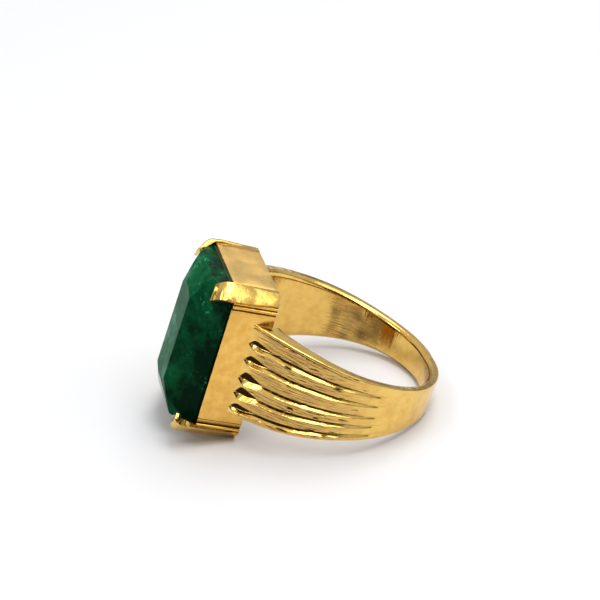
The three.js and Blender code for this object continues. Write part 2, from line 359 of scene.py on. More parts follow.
@dataclass(frozen=True)
class CastGold:
    """Yellow gold as cast and then filed along the ridges: fine lines that follow the band, small
    casting pits, and bright burnished gold where the file has not reached."""

    name: str = "cast and filed yellow gold"
    colour: str = "#ECC56C"
    shade: str = "#DCAD5A"  # the gold's deeper patches
    cloud_spacing: float = 1.3  # millimetres between them
    painted_shade: str = "#1C0A03"  # painted shade in the flutes, pits and edge lines, and a painted dark reflection inside
    scuffed: str = "#BE965A"  # between the file lines
    roughness: float = 0.11
    filed_roughness: float = 0.12  # more, where it is filed
    painted_shade_roughness: float = 0.35  # more, where shade is painted
    file_spacing: float = 0.09  # millimetres between file lines, across the band
    file_length: float = 2.4  # millimetres that one file line runs
    file_depth: float = 0.35
    wipe_spacing: float = 0.5  # millimetres between the polishing marks across the band
    wipe_length: float = 3.0
    wipe_depth: float = 0.08

    def make(self) -> Material:
        """Builds the material and returns it."""
        material, tree = new_material(self.name)
        ways = add_node(tree, "ShaderNodeUVMap", settings={"uv_map": "way"}).outputs[0]
        place = add_node(tree, "ShaderNodeTexCoord").outputs["Object"]
        filed = mask(tree, "filed")
        lines_place = place_by(tree, ways, (1 / self.file_length, 1 / self.file_spacing, 1.0))
        lines = unevenness(tree, lines_place, detail=3.0, roughness=0.6)
        wipes_place = place_by(tree, ways, (1 / self.wipe_spacing, 1 / self.wipe_length, 1.0))
        wipes = unevenness(tree, wipes_place, detail=4.0)
        relief = bump(tree, wipes, self.wipe_depth, self.wipe_spacing)
        clouds = unevenness(tree, place, self.cloud_spacing, 5.0, 0.65)
        patchy = ramp(tree, clouds, [(0.32, linear(self.shade)), (0.6, linear(self.colour))])
        streaks = fit(tree, lines, 0.62, 0.40, 0.0, 0.95)
        worn = mix(tree, compute(tree, "MULTIPLY", streaks, filed), patchy, linear(self.scuffed))
        # Painted shade breaks up along the file lines where there is only a little of it.
        painted_dark = compute(tree, "MULTIPLY_ADD", lines, 0.9, mask(tree, "recess"))
        painted_dark = fit(tree, painted_dark, 0.8, 1.3, 0.0, 0.97)
        metal = compute(tree, "SUBTRACT", 1.0, painted_dark)
        polish = fit(tree, clouds, 0.3, 0.7, self.roughness * 0.7, self.roughness * 1.3)
        polish = compute(tree, "MULTIPLY_ADD", filed, self.filed_roughness, polish)
        fill_inputs(tree, tree.nodes[SHADER], {
            "Metallic": metal,
            "Specular IOR Level": compute(tree, "MULTIPLY", metal, 0.5),
            "Base Color": mix(tree, painted_dark, worn, linear(self.painted_shade)),
            "Roughness": compute(tree, "MULTIPLY_ADD", painted_dark, self.painted_shade_roughness, polish),
            "Normal": bump(
                tree, compute(tree, "MULTIPLY", lines, filed), self.file_depth, self.file_spacing, relief
            ),
        })
        return material


@dataclass(frozen=True)
class CutGreenStone:
    """An emerald-like green stone, sawn, faceted and polished: deep green with cloudy veils and a
    garden of small inclusions under glassy facets, with painted glints where they catch the light."""

    name: str = "faceted green stone"
    deep: str = "#001D0D"
    body: str = "#034022"
    light: str = "#0F6038"
    milky: str = "#4B8A70"
    glint: str = "#35B884"
    girdle: str = "#47584E"
    veil_spacing: float = 3.0  # millimetres between the cloudy veils
    mottle_spacing: float = 0.8
    fleck_spacing: float = 0.34  # millimetres between the painted glints of the small inclusions
    patch_density: float = 0.45  # patches of them to a millimetre
    ior: float = 1.57
    surface_shine: float = 0.02  # low, as most of the green comes from inside

    def make(self) -> Material:
        """Builds the material and returns it."""
        material, tree = new_material(self.name)
        place = add_node(tree, "ShaderNodeTexCoord").outputs["Object"]
        veils = unevenness(tree, place, self.veil_spacing, 9.0, 0.64, 0.5)
        mottle = unevenness(tree, place, self.mottle_spacing, 4.0, 0.6)
        cloudy = compute(tree, "SUBTRACT", compute(tree, "MULTIPLY_ADD", mottle, 0.5, veils), 0.25)
        green = ramp(tree, compute(tree, "ADD", cloudy, mask(tree, "tone")), [
            (0.26, linear(self.deep)), (0.46, linear(self.body)), (0.72, linear(self.light)),
            (0.96, linear(self.milky)),
        ])
        # Small bright flecks are painted glints where inclusions catch the light.
        cells = {"Vector": place, "Scale": 1 / (self.fleck_spacing * MM)}
        off_centre = add_node(tree, "ShaderNodeTexVoronoi", cells).outputs["Distance"]
        near = fit(tree, off_centre, 0.0, 0.42, 1.0, 0.0)
        patch = unevenness(tree, place, 1 / self.patch_density)
        likely = compute(tree, "MULTIPLY_ADD", mask(tree, "spark"), 0.13, patch)
        amount = compute(tree, "MULTIPLY", near, fit(tree, likely, 0.6, 0.72))
        flecked = mix(tree, amount, green, linear(self.glint))
        frost = mask(tree, "frost")
        fill_inputs(tree, tree.nodes[SHADER], {
            "IOR": self.ior,
            "Specular IOR Level": self.surface_shine,
            "Base Color": mix(tree, frost, flecked, linear(self.girdle)),
            "Roughness": fit(tree, frost, 0.0, 1.0, 0.03, 0.5),
        })
        return material


# ---- The stone ----
@dataclass
class Stone:
    """The step-cut stone: table, two crown breaks, girdle, belly and keel, in millimetres."""

    girdle_face: float  # distance of the girdle's underside from the finger axis
    length: float = 14.1
    width: float = 10.2
    corner: float = 0.45
    girdle: float = 0.3
    crown: float = 2.74
    table_length: float = 9.32
    table_width: float = 3.4
    table_cut: Pair = (1.3, 0.5)
    knee_drop: float = 0.67  # below the table, like the other drops in the crown
    knee_cut: Pair = (0.2, 0.2)
    step_drop: float = 1.15
    step_inset: float = 0.05
    step_cut: Pair = (0.3, 0.93)
    pavilion: float = 2.85
    belly_drop: float = 1.08
    belly_inset: float = 1.12
    keel_length: float = 5.6
    keel_width: float = 0.3
    keel_cut: Pair = (0.1, 0.1)
    lean: float = 1.0  # degrees that the stone is set out of true
    edge_wear: float = 0.03
    flat_angle: float = math.radians(1.5)  # facets that meet at less are one facet

    @property
    def table_face(self) -> float:
        """Distance of the table from the finger axis."""
        return self.girdle_face + self.girdle + self.crown

    def facet_look(self, index: int, face: BMFace, point: Vector) -> Triple:
        """Works out how one facet looks at one of its corners.

        Args:
            index: The facet's number, which gives it a shade of its own.
            face: The facet.
            point: The corner.

        Returns:
            How light its green is, with painted shade and sheen in it, 1 where it is ground and not
            polished, and 1 where more painted glints show.
        """
        normal, middle = face.normal, face.calc_center_median()
        is_table = normal.x < -0.97
        is_girdle = abs(middle.x + self.girdle_face + self.girdle / 2) < 0.25 and abs(normal.x) < 0.3
        is_steep = abs(normal.x) < 0.25 and not is_girdle
        own = 0.10 * noise.noise(normal * 3.1 + Vector((index * 0.37, 1.7, 0.2)))
        upper = ease(-3.0, 7.0, point.z)
        rim = ease(self.girdle_face + 1.7, self.girdle_face + 0.2, -point.x)
        # Painted shade darkens the rim by the girdle, the steep facets and the girdle's sides; the upper
        # end is lighter.
        tone = own + 0.1 * upper - 0.2 * rim - 0.12 * is_steep - 0.2 * is_girdle
        # Painted glints gather by the table, and the table's lighter tone is a painted sheen.
        by_table = -point.x > self.table_face - 0.4 and normal.z > 0.3 and not is_table
        return 0.18 if is_table else tone, float(is_girdle and normal.z > 0.5), float(by_table)

    def tone_facets(self, bm: BMesh) -> None:
        """Gives each corner of each facet its own depth of green, with painted shade and a painted sheen
        in it.
        """
        layers = [bm.loops.layers.float.new(name) for name in ("tone", "frost", "spark")]
        for index, face in enumerate(bm.faces):
            for loop in face.loops:
                for layer, value in zip(layers, self.facet_look(index, face, loop.vert.co)):
                    loop[layer] = value

    def level(self, distance: float, half_width: float, half_length: float, cut: Pair) -> list[Vector]:
        """Returns the eight corners of one level, where each corner loses a cut across and along."""
        return [
            Vector((-distance, side * (half_width - across), end * (half_length - along)))
            for side in (-1, 1)
            for end in (-1, 1)
            for across, along in ((0, cut[1]), (cut[0], 0))
        ]

    def corners(self) -> list[Vector]:
        """Returns the corners of every level from the table to the keel."""
        side_run = (self.width - self.table_width) / 2 / self.crown
        end_run = (self.length / 2 - self.step_inset - self.table_length / 2) / self.step_drop
        points = []
        for drop, cut in (
            (0, self.table_cut), (self.knee_drop, self.knee_cut), (self.step_drop, self.step_cut),
        ):
            half_width = self.table_width / 2 + drop * side_run
            half_length = self.table_length / 2 + drop * end_run
            points += self.level(self.table_face - drop, half_width, half_length, cut)
        cut = (self.corner, self.corner)
        for distance, inset in (
            (self.girdle_face + self.girdle, 0), (self.girdle_face, 0),
            (self.girdle_face - self.belly_drop, self.belly_inset),
        ):
            points += self.level(distance, self.width / 2 - inset, self.length / 2 - inset, cut)
        keel = self.girdle_face - self.pavilion
        return points + self.level(keel, self.keel_width / 2, self.keel_length / 2, self.keel_cut)

    def build(self, stance: Stance) -> Object:
        """Cuts the stone and returns it."""
        bm = bmesh.new()
        for point in self.corners():
            bm.verts.new(point)
        hull = bmesh.ops.convex_hull(bm, input=bm.verts)
        unused = hull["geom_interior"] + hull["geom_unused"]
        spare = {item for item in unused if isinstance(item, BMVert)}
        bmesh.ops.delete(bm, geom=list(spare), context="VERTS")
        bmesh.ops.dissolve_limit(bm, angle_limit=self.flat_angle, verts=bm.verts, edges=bm.edges)
        round_edges(bm, bm.edges, self.edge_wear, 1)
        middle = Vector((-self.girdle_face, 0, 0))
        turn = Matrix.Rotation(math.radians(self.lean), 3, "Y")
        bmesh.ops.rotate(bm, cent=middle, matrix=turn, verts=bm.verts)
        self.tone_facets(bm)
        return stand_in(bm, "stone", "green_stone", CutGreenStone().make(), stance, None)


# ---- The head ----
@dataclass(frozen=True)
class ClawBend:
    """How one claw was bent over the stone, in millimetres and radians."""

    places: tuple[Pair, ...]  # its outer side: in from the strip, above the walls' edge
    thickness: float = 0.42
    swell: float = 0.3  # how much thicker it is at the bend, as a share
    twist: float = 0.0  # how much further out one edge of the tip is, for each half width


@dataclass
class Head:
    """The box head: two long walls, two end walls, a bearing ledge and four corners with claws."""

    back: float = 8.33  # distance from the finger axis
    height: float = 4.15
    half_width: float = 5.565
    half_length: float = 7.42
    wall: float = 0.3
    seam: float = 0.04
    wall_rounding: float = 0.05
    waviness: float = 0.02  # of the walls, as hammered sheet has
    ledge_width: float = 0.9
    ledge_height: float = 0.95
    ledge_corner: float = 1.45
    ledge_clearance: float = 0.06  # under the girdle
    ledge_rounding: float = 0.04
    along_wall: float = 1.8  # how far a corner piece reaches along the long wall
    along_end: float = 1.6
    strip_back: float = 0.82  # leg of the corner's chamfer at the back
    strip_front: float = 1.0
    # Beads on the long wall beside the strip: where each starts and ends along it, and how proud.
    beads: tuple[Triple, ...] = ((0.02, 0.34, 0.2), (0.37, 0.74, 0.3))
    bead_sink: float = 0.14  # how far the beads' feet lie below the wall
    bead_steps: int = 8
    claw_half_width: float = 0.875
    claw_rounding: float = 0.11
    claw_bends: dict[tuple[Side, End], ClawBend] = field(default_factory=lambda: {
        (Side.LEFT, End.UPPER): ClawBend(
            ((-0.3, 0.1), (-0.29, 0.7), (-0.2, 1.16), (-0.13, 1.33), (0.25, 1.62), (0.66, 1.88)),
            thickness=0.5, swell=0.1, twist=-0.22,
        ),
        (Side.RIGHT, End.UPPER): ClawBend(
            ((-0.06, 0.0), (-0.06, 0.3), (0.08, 0.68), (0.35, 1.02), (0.75, 1.32), (1.25, 1.58)),
            thickness=0.34, swell=0.9,
        ),
        (Side.LEFT, End.LOWER): ClawBend(
            ((-0.08, 0.1), (-0.08, 0.9), (-0.03, 1.4), (0.12, 1.8), (0.45, 2.0), (1.15, 1.86)),
            thickness=0.36, swell=1.1,
        ),
        (Side.RIGHT, End.LOWER): ClawBend(
            ((-0.06, 0.0), (-0.06, 0.3), (0.08, 0.66), (0.35, 0.98), (0.7, 1.2), (1.0, 1.36)),
            thickness=0.36,
        ),
    })

    @property
    def front(self) -> float:
        """Distance of the walls' front edge from the finger axis."""
        return self.back + self.height

    def plate(self, low: Vector, high: Vector, cells: tuple[int, int, int]) -> BMesh:
        """Makes a thin plate with rounded edges and returns it.

        Args:
            low: Its lowest corner.
            high: Its highest corner.
            cells: How many cells each way, for its slight waviness.
        """
        bm = bmesh.new()
        bmesh.ops.create_cube(bm, size=1.0)
        size = high - low
        bmesh.ops.scale(bm, vec=size, verts=bm.verts)
        bmesh.ops.translate(bm, vec=(high + low) / 2, verts=bm.verts)
        round_edges(bm, bm.edges, self.wall_rounding)
        for axis, count in enumerate(cells):
            normal = Vector((axis == 0, axis == 1, axis == 2))
            for step in range(1, count):
                at = low + size * (step / count)
                geom = bm.verts[:] + bm.edges[:] + bm.faces[:]
                bmesh.ops.bisect_plane(bm, geom=geom, plane_co=at, plane_no=normal, dist=1e-4)
        return bm

    def long_wall(self, side: Side, stance: Stance, gold: Material) -> Object:
        """Builds the long wall on one side and returns it."""
        half = self.half_length - self.along_wall - self.seam
        near, far = sorted((side.value * self.half_width, side.value * (self.half_width - self.wall)))
        low, high = Vector((-self.front, near, -half)), Vector((-self.back, far, half))
        bm = self.plate(low, high, (8, 1, 20))
        for vert in bm.verts:
            sway = noise.noise(Vector((vert.co.x * 0.45, side.value * 3.0, vert.co.z * 0.3)))
            vert.co.y += self.waviness * sway
        name = side.name.lower()
        return stand_in(bm, f"{name}_long_wall", f"long_wall_{name}", gold, stance)

    def end_wall(self, end: End, stance: Stance, gold: Material) -> Object:
        """Builds the end wall on one end and returns it."""
        half = self.half_width - self.along_end - self.seam
        near, far = sorted((end.value * self.half_length, end.value * (self.half_length - self.wall)))
        low, high = Vector((-self.front, -half, near)), Vector((-self.back, half, far))
        bm = self.plate(low, high, (8, 14, 1))
        for vert in bm.verts:
            sway = noise.noise(Vector((vert.co.x * 0.4, vert.co.y * 0.35, end.value * 5.0)))
            vert.co.z += self.waviness * sway
        name = end.name.lower()
        return stand_in(bm, f"{name}_end_wall", f"end_wall_{name}", gold, stance)

    def seat(self, girdle_face: float, stance: Stance, gold: Material) -> Object:
        """Builds the bearing ledge, a frame with cut corners, under the stone and returns it.

        Args:
            girdle_face: Distance of the girdle's underside from the finger axis.
            stance: How the ring lies.
            gold: Its finish.
        """
        bm = bmesh.new()

        def ring(distance: float, inset: float) -> list[BMVert]:
            """Adds the eight corners of one edge of the frame."""
            width = self.half_width - self.wall - self.seam - inset
            length = self.half_length - self.wall - self.seam - inset
            cut = self.ledge_corner - inset * (2 - math.sqrt(2))
            spots = [
                (width, length - cut), (width - cut, length), (cut - width, length), (-width, length - cut)
            ]
            spots += [(-across, -along) for across, along in spots]
            return [bm.verts.new((-distance, across, along)) for across, along in spots]

        top = girdle_face - self.ledge_clearance
        low = top - self.ledge_height
        rings = [ring(*place) for place in (
            (top, 0.0), (top, self.ledge_width), (low, self.ledge_width), (low, 0.0)
        )]
        for near, far in zip(rings, rings[1:] + rings[:1]):
            for k in range(8):
                bm.faces.new((near[k], near[(k + 1) % 8], far[(k + 1) % 8], far[k]))
        round_edges(bm, bm.edges, self.ledge_rounding)
        return stand_in(bm, "bearing_ledge", "stone_seat", gold, stance)

    def corner(self, side: Side, end: End, stance: Stance, gold: Material) -> Object:
        """Builds the corner piece with its claw at one corner and returns it."""
        bm = bmesh.new()
        self.corner_core(bm, side, end)
        self.claw(bm, side, end)
        name = f"claw_{end.name.lower()}_{side.name.lower()}"
        return stand_in(bm, f"corner_{name}", name, gold, stance, 40.0)

    def corner_core(self, bm: BMesh, side: Side, end: End) -> None:
        """Adds the folded corner sheet with its beads beside the strip, two above and one below.

        Args:
            bm: Where the sheet is added. It gets the layer of painted shade in its recesses too.
            side: Which long side.
            end: Which end.
        """
        fold = self.strip_back + 0.1
        # Places round the sheet's section: in from the long wall, and in from the end wall.
        outline = [(self.along_end, 0.0), (fold, 0.0), (0.0, fold)]
        for low, high, proud in self.beads[:2 if end is End.UPPER else 1]:
            for step in range(self.bead_steps + 1):
                angle = math.pi * step / self.bead_steps
                along = self.strip_front + blend(low, high, (1 - math.cos(angle)) / 2)
                outline.append((self.bead_sink - proud * math.sin(angle), along))
        outline += [
            (0.0, self.along_wall), (self.wall, self.along_wall), (self.wall, self.along_wall - 0.2),
            (self.along_end - 0.3, self.wall), (self.along_end, self.wall),
        ]
        recess = bm.verts.layers.float.new("recess")
        section = []
        for across, along in outline:
            width, length = self.half_width - across, self.half_length - along
            vert = bm.verts.new((-self.back, side.value * width, end.value * length))
            beside_bead = self.strip_front - 0.1 < along < self.strip_front + 0.8
            # The joints beside the beads get painted shade.
            vert[recess] = float(beside_bead and 0.1 < across < 0.2)
            section.append(vert)
        grown = bmesh.ops.extrude_face_region(bm, geom=[bm.faces.new(section)])["geom"]
        moved = [item for item in grown if isinstance(item, BMVert)]
        bmesh.ops.translate(bm, vec=(-self.height, 0, 0), verts=moved)

    def claw_stations(self, side: Side, end: End) -> list[tuple[float, float, float, float, float]]:
        """Works out the claw's sections from the back of the head to its tip.

        Returns:
            For each, how far out and up its outer side is, its lean, half width and thickness.
        """
        bend = self.claw_bends[side, end]
        thick, half, front = bend.thickness, self.claw_half_width, self.front
        face = (self.half_width + self.half_length - self.strip_back) / math.sqrt(2)
        stand = max(0.1, -0.7 * bend.places[0][0])
        stations = [
            (face + 0.02, self.back, 0.0, 0.60, thick),
            (face + 0.04, self.back + 0.35 * self.height, 0.0, 0.70, thick),
            (face + 0.08, self.back + 0.65 * self.height, 0.0, 0.80, thick),
            (face + stand, front - 0.55, 0.0, half, thick),
        ]
        path = [Vector((face - inward, front + rise)) for inward, rise in bend.places]
        last = len(path) - 1
        for step, spot in enumerate(path):
            run = path[min(step + 1, last)] - path[max(step - 1, 0)]
            share = step / last
            lean = math.atan2(-run.x, run.y)
            depth = thick * (1 - 0.3 * share + bend.swell * math.sin(share * math.pi))
            stations.append((spot.x, spot.y, lean, half * (1 - 0.1 * share**3), depth))
        return stations

    def claw(self, bm: BMesh, side: Side, end: End) -> None:
        """Adds the strip that runs up the corner and folds over the stone as a claw."""
        forward = Vector((-1, 0, 0))
        outward = Vector((0, side.value, end.value)).normalized()
        along = outward.cross(forward)
        width, length = self.half_width - self.strip_back / 2, self.half_length - self.strip_back / 2
        base = along * Vector((0, side.value * width, end.value * length)).dot(along)
        quad = bmesh.ops.create_grid(bm, x_segments=1, y_segments=1, size=1.0)["verts"]
        corners = sorted(quad, key=lambda v: (v.co.x, v.co.y))
        signs = [(v.co.x, v.co.y) for v in corners]
        made: set[BMVert] = set()
        tip = next(iter(corners[0].link_faces))
        twist = self.claw_bends[side, end].twist
        for index, (out, up, lean, half_width, thickness) in enumerate(self.claw_stations(side, end)):
            if index:
                grown = bmesh.ops.extrude_face_region(bm, geom=[tip])["geom"]
                tip = next(item for item in grown if isinstance(item, BMFace))
                fresh = [item for item in grown if isinstance(item, BMVert)]
                corners = [min(fresh, key=lambda v, c=c: (v.co - c.co).length) for c in corners]
            across = outward * math.cos(lean) + forward * math.sin(lean)
            centre = base + outward * out + forward * up
            for vert, (depth, edge) in zip(corners, signs):
                inner = 0.0 if depth > 0 else -thickness
                vert.co = centre + across * inner + along * (edge * half_width)
                vert.co.x += twist * edge * ease(self.front + 0.5, self.front + 1.8, up)
                made.add(vert)
        limit = math.radians(50)
        sharp = [
            e for e in bm.edges
            if made.issuperset(e.verts) and len(e.link_faces) == 2 and e.calc_face_angle(0.0) > limit
        ]
        round_edges(bm, sharp, self.claw_rounding, 3)


# ---- The band ----
@dataclass
class FingerBand:
    """The cast finger band with five tapering flutes on each shoulder, in millimetres."""

    head: Head
    radius: float = 9.25
    thickness: tuple[Pair, ...] = ((0, 0.87), (90, 1.07), (135, 1.6), (150.8, 2.15))
    half_width: tuple[Pair, ...] = (
        (0, 1.41), (45, 1.83), (90, 3.05), (123.5, 4.05), (150.8, 4.55),
    )
    flutes: tuple[float, ...] = (2.68, 1.06, -0.84, -2.34, -3.80)  # heights at the wall
    flute_half_width: float = 0.29
    flute_depth: float = 0.38
    pit_depth: float = 0.06  # extra depth beside the wall
    pit_length: float = 1.8
    pit_end: float = 0.5  # length of the pit's rounded end
    pit_sizes: tuple[float, ...] = (0.7, 0.9, 1.4, 1.3, 0.6)  # how much wider each flute is there
    pit_bottom: float = -0.3
    flute_bottom: float = 0.4  # where the flute is deepest, as a share from its middle to its upper edge
    flute_end: float = 76.0  # degrees round from the palm
    inner_bevel: float = 0.27
    outer_round: float = 0.13
    wall_fillet: float = 0.28
    wall_overlap: float = 0.03  # how far the solder takes it into the long wall
    grain_height: float = 0.03  # of the uneven filed surface
    flaw_depth: float = 0.07  # of its casting flaws
    dark_reflection_patch: Pair = (36.0, 85.0)  # turns from the palm that the painted dark reflection inside runs between
    around: int = 340
    # The stretches of its section, in order round it, and how many cells each has.
    stretches: tuple[tuple[str, int], ...] = (
        ("inner", 14), ("bevel_up", 3), ("top", 5), ("round_up", 4), ("outer", 236),
        ("round_down", 4), ("bottom", 5), ("bevel_down", 3),
    )

    @property
    def wall_turn(self) -> float:
        """The turn from the palm, in degrees, where the outer surface meets the long walls."""
        return self.half_width[-1][0]

    def section(self) -> list[tuple[str, float]]:
        """Returns the stations round the band's section, each a stretch's name and a share along it."""
        return [(name, step / count) for name, count in self.stretches for step in range(count)]

    def groove(self, turn: float, height: float, wall_gap: float) -> Pair:
        """Reads how deep the flutes cut below the outer surface, and how much shade is painted in them.

        Args:
            turn: Turn from the palm, in degrees.
            height: Height of the point on the surface.
            wall_gap: Its distance from the long wall.

        Returns:
            The depth and a share from 0 to 1.
        """
        run = ease(self.flute_end - 6, self.wall_turn - 10, turn)
        if run <= 0:
            return 0.0, 0.0
        share = smooth_curve(self.half_width, turn) / self.half_width[-1][1]
        near = 1 - ease(0.45, self.pit_length, wall_gap)
        pit = near * ease(-0.05, 0.35, wall_gap)
        bottom = blend(self.flute_bottom, self.pit_bottom, near)
        start = max(0.0, 1 - max(0.0, wall_gap - 0.06) / self.pit_end)
        blunt = math.sqrt(max(0.0, 1 - start**2))
        depth = (self.flute_depth * run**0.55 + self.pit_depth * pit) * ease(-0.05, 0.16, wall_gap)
        for number, place in enumerate(self.flutes):
            reach = self.flute_half_width * blend(0.4, 1.0, run**0.6) * (1 + self.pit_sizes[number] * pit)
            reach = max(0.02, reach * blunt)
            wander = 0.03 * noise.noise(Vector((turn * 0.09, number * 4.0, 2.0)))
            away = (height - place * share - wander - 0.11 * self.pit_sizes[number] * pit) / reach
            if abs(away) >= 1.0:
                continue
            low, high = (1 + away) / (1 + bottom), (1 - away) / (1 - bottom)
            shape = min(1.0, 1.1 * min(low, high))
            worn = 0.95 + 0.5 * noise.noise(Vector((turn * 0.4, number * 3.0, 5.0)))
            # The upper wall of each flute gets painted shade, and the pits beside the wall get more of it.
            floor = worn * ease(0.1, 0.25, away) * ease(0.0, 0.25, high)
            pit_shade = ease(bottom - 0.14, bottom, away) * ease(0.0, 0.15, high) * ease(0.1, 0.5, near)
            painted_dark = max(floor, 1.2 * pit_shade) * ease(0.0, 0.3, run)
            return depth * shape, painted_dark
        # A thin line along the top edge gets painted shade.
        half = smooth_curve(self.half_width, turn)
        rim = 1 - ease(0.03, 0.07, abs(height - half + 0.3))
        return 0.05 * rim * run, 0.9 * rim * run

    def plain_place(self, stretch: str, along: float, thick: float, half: float) -> Pair:
        """Places a point of the band's section before it is fluted or worn.

        Args:
            stretch: The stretch of the section.
            along: The share along that stretch.
            thick: The band's thickness there.
            half: Half its width there.

        Returns:
            The point's distance out from the finger hole, and its height.
        """
        bevel, edge = min(self.inner_bevel, thick * 0.35), self.outer_round
        sine, cosine = math.sin(along * math.pi / 2), math.cos(along * math.pi / 2)
        return {
            "inner": (0.0, blend(bevel - half, half - bevel, along)),
            "bevel_up": (bevel * along, half - bevel * (1 - along)),
            "top": (blend(bevel, thick - edge, along), half),
            "round_up": (thick - edge * (1 - sine), half - edge * (1 - cosine)),
            "outer": (thick, blend(half - edge, edge - half, along)),
            "round_down": (thick - edge * (1 - cosine), edge * (1 - sine) - half),
            "bottom": (blend(thick - edge, bevel, along), -half),
            "bevel_down": (bevel * (1 - along), bevel * along - half),
        }[stretch]

    def point(self, share: float, stretch: str, along: float) -> tuple[Vector, float, float, float, float]:
        """Works out one point of the band's surface.

        Args:
            share: -1 at the left wall, 0 at the palm, 1 at the right wall.
            stretch: The stretch of the section.
            along: The share along that stretch.

        Returns:
            The point, its length along the band, its height, how strongly it is filed and how much dark is
            painted on it.
        """
        side = Side.LEFT if share < 0 else Side.RIGHT
        nominal = abs(share) * self.wall_turn
        thick = smooth_curve(self.thickness, nominal)
        half = smooth_curve(self.half_width, nominal)
        depth, height = self.plain_place(stretch, along, thick, half)
        wall_y = self.head.half_width - self.wall_overlap
        gap = abs((self.radius + thick) * math.sin(math.radians(nominal))) - wall_y
        gap = gap if nominal > 90 else math.inf
        cut = filed = painted_dark = 0.0
        if stretch == "outer":
            cut, painted_dark = self.groove(nominal, height, gap)
        if depth > 0 and gap < self.wall_fillet:
            fillet = self.wall_fillet
            flare = fillet - math.sqrt(max(0.0, fillet**2 - (fillet - max(gap, 0.0)) ** 2))
            depth += flare * (depth / thick) ** 3 * (1 - min(1.0, cut / 0.12))
        if stretch == "outer":
            run = ease(self.flute_end, self.flute_end + 30, nominal)
            filed = run * (1 - min(1.0, cut / 0.1)) * ease(0.2, 1.5, gap)
            grain = noise.noise(Vector((nominal * 0.16, height * 6.0, side.value * 7.0)))
            spot = Vector((nominal * 0.15, height * 4.2, side.value * 3.0 + 9.0))
            flaw = ease(0.36, 0.6, noise.noise(spot))
            depth += filed * (self.grain_height * grain - self.flaw_depth * flaw) - cut
            # Casting flaws get painted shade.
            painted_dark = max(painted_dark, filed * flaw)
        elif stretch in ("top", "round_up"):
            # Patches of the top near the long wall are painted darker.
            layer = noise.noise(Vector((depth * 5.0, nominal * 0.12, 4.0)))
            painted_dark = 1.1 * ease(0.05, 0.3, layer) * (1 - ease(0.3, 1.6, gap))
        elif stretch == "inner" and side is Side.RIGHT:
            # A dark reflection is painted on a patch of the inside, which is also made duller.
            start, end = self.dark_reflection_patch
            patch = ease(start, start + 8, nominal) * (1 - ease(end - 12, end, nominal))
            painted_dark = patch * (0.52 + 0.3 * noise.noise(Vector((nominal * 0.12, height * 0.8, 3.0))))
        reach = self.radius + depth
        end_turn = 180 - math.degrees(math.asin(wall_y / reach))
        angle = math.radians(nominal - (nominal / self.wall_turn) ** 5 * (self.wall_turn - end_turn))
        place = Vector((reach * math.cos(angle), side.value * reach * math.sin(angle), height))
        return place, side.value * self.radius * math.radians(nominal), height, filed, painted_dark

    def build(self, stance: Stance) -> Object:
        """Shapes the band and returns it."""
        bm = bmesh.new()
        stations = self.section()
        count = len(stations)
        bmesh.ops.create_grid(bm, x_segments=self.around, y_segments=count, size=1.0)
        way = bm.loops.layers.uv.new("way")
        filed_layer = bm.verts.layers.float.new("filed")
        recess_layer = bm.verts.layers.float.new("recess")
        ways: dict[BMVert, Pair] = {}
        for vert in bm.verts:
            step = round((vert.co.y + 1) / 2 * count) % count
            # More stations go to the shoulders, where the flutes need them.
            share = math.sin(vert.co.x * math.pi / 2)
            found = self.point(share, *stations[step])
            vert.co, length, height, vert[filed_layer], vert[recess_layer] = found
            ways[vert] = (length, height)
        for face in bm.faces:
            for loop in face.loops:
                loop[way].uv = ways[loop.vert]
        bmesh.ops.remove_doubles(bm, verts=bm.verts, dist=1e-4)
        bmesh.ops.holes_fill(bm, edges=[e for e in bm.edges if e.is_boundary], sides=0)
        return stand_in(bm, "band", "finger_band", CastGold().make(), stance, 50.0)


# ---- The studio ----
@dataclass(frozen=True)
class DarkSpot:
    """A dark place in the room around the ring, seen in its reflections."""

    azimuth: float  # degrees
    elevation: float  # degrees
    edge: float  # cosine of the angle from the middle where it starts
    core: float  # cosine of the angle where it is darkest
    colour: Triple


@dataclass(frozen=True)
class Softbox:
    """A soft rectangular lamp or window that faces the ring, in metres and watts."""

    name: str
    place: Triple
    size: Pair
    power: float

    def build(self) -> None:
        """Adds the light."""
        data = bpy.data.lights.new(self.name, "AREA")
        data.shape = "RECTANGLE"
        data.size, data.size_y = self.size
        data.energy = self.power
        light = bpy.data.objects.new(self.name, data)
        light.location = self.place
        light.rotation_euler = (-Vector(self.place)).to_track_quat("-Z", "Y").to_euler()
        bpy.context.scene.collection.objects.link(light)


